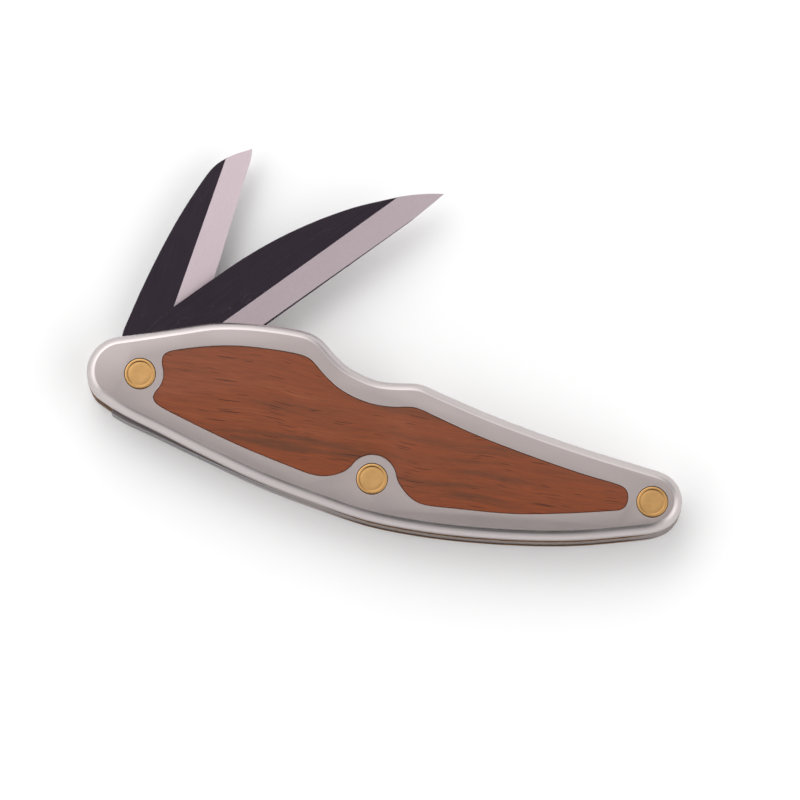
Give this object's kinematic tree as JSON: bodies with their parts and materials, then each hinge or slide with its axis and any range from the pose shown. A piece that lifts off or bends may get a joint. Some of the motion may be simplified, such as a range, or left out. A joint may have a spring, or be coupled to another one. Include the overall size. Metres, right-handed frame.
{
  "type": "whittling knife",
  "caption": "Folding whittling jack with a curved aluminium handle, wood inlays and brass rivets; two straight-edged carving blades fold out of one end.",
  "frame": {"origin": "on the blade pivot's axis, in the plane of the back scale's flat face, on which the knife lies", "axes": "+X from the blade pivot towards the tail rivet, +Y out of the open side of the handle where the blades come out, +Z through the handle's thickness from the back scale to the front scale"},
  "size_m": [0.1081, 0.0609, 0.0122],
  "materials": {
    "aluminium_scale": "bead-blasted satin with brighter ground chamfer",
    "rosewood_inlay": "oiled reddish-brown hardwood with short dark pores",
    "brass_liner": "plain rolled brass, dulled",
    "brass_rivet": "faced flush with a faint spun ring",
    "blade_steel": "dark polished flats and light satin ground bevels",
    "spring_steel": "satin ground"
  },
  "bodies": {
    "handle": {"front_scale": "aluminium_scale", "back_scale": "aluminium_scale", "front_inlay": "rosewood_inlay", "back_inlay": "rosewood_inlay", "front_liner": "brass_liner", "back_liner": "brass_liner", "centre_divider": "brass_liner", "large_spring_base": "spring_steel", "small_spring_base": "spring_steel", "pivot_rivet_post": "brass_rivet", "pivot_rivet_sleeve": "brass_rivet", "spring_rivet_post": "brass_rivet", "spring_rivet_sleeve": "brass_rivet", "tail_rivet_post": "brass_rivet", "tail_rivet_sleeve": "brass_rivet"},
    "large_blade": {"large_blade": "blade_steel"},
    "small_blade": {"small_blade": "blade_steel"},
    "large_spring": {"large_spring_arm": "spring_steel"},
    "small_spring": {"small_spring_arm": "spring_steel"}
  },
  "joints": [
    {"name": "large_blade_pivot", "type": "hinge", "parent": "handle", "child": "large_blade", "pos_m": [0, 0, 0.00765], "axis": [0, 0, 1], "range_deg": [-41.5, 138.5]},
    {"name": "small_blade_pivot", "type": "hinge", "parent": "handle", "child": "small_blade", "pos_m": [0, 0, 0.0051], "axis": [0, 0, 1], "range_deg": [-70.5, 109.5]},
    {"name": "large_spring_flex", "type": "hinge", "parent": "handle", "child": "large_spring", "pos_m": [0.04435, -0.00814, 0], "axis": [0, 0, 1], "range_deg": [-0.8, 0.4], "stiffness_Nm_per_rad": 4},
    {"name": "small_spring_flex", "type": "hinge", "parent": "handle", "child": "small_spring", "pos_m": [0.04435, -0.00814, 0], "axis": [0, 0, 1], "range_deg": [-0.8, 0.4], "stiffness_Nm_per_rad": 4}
  ]
}
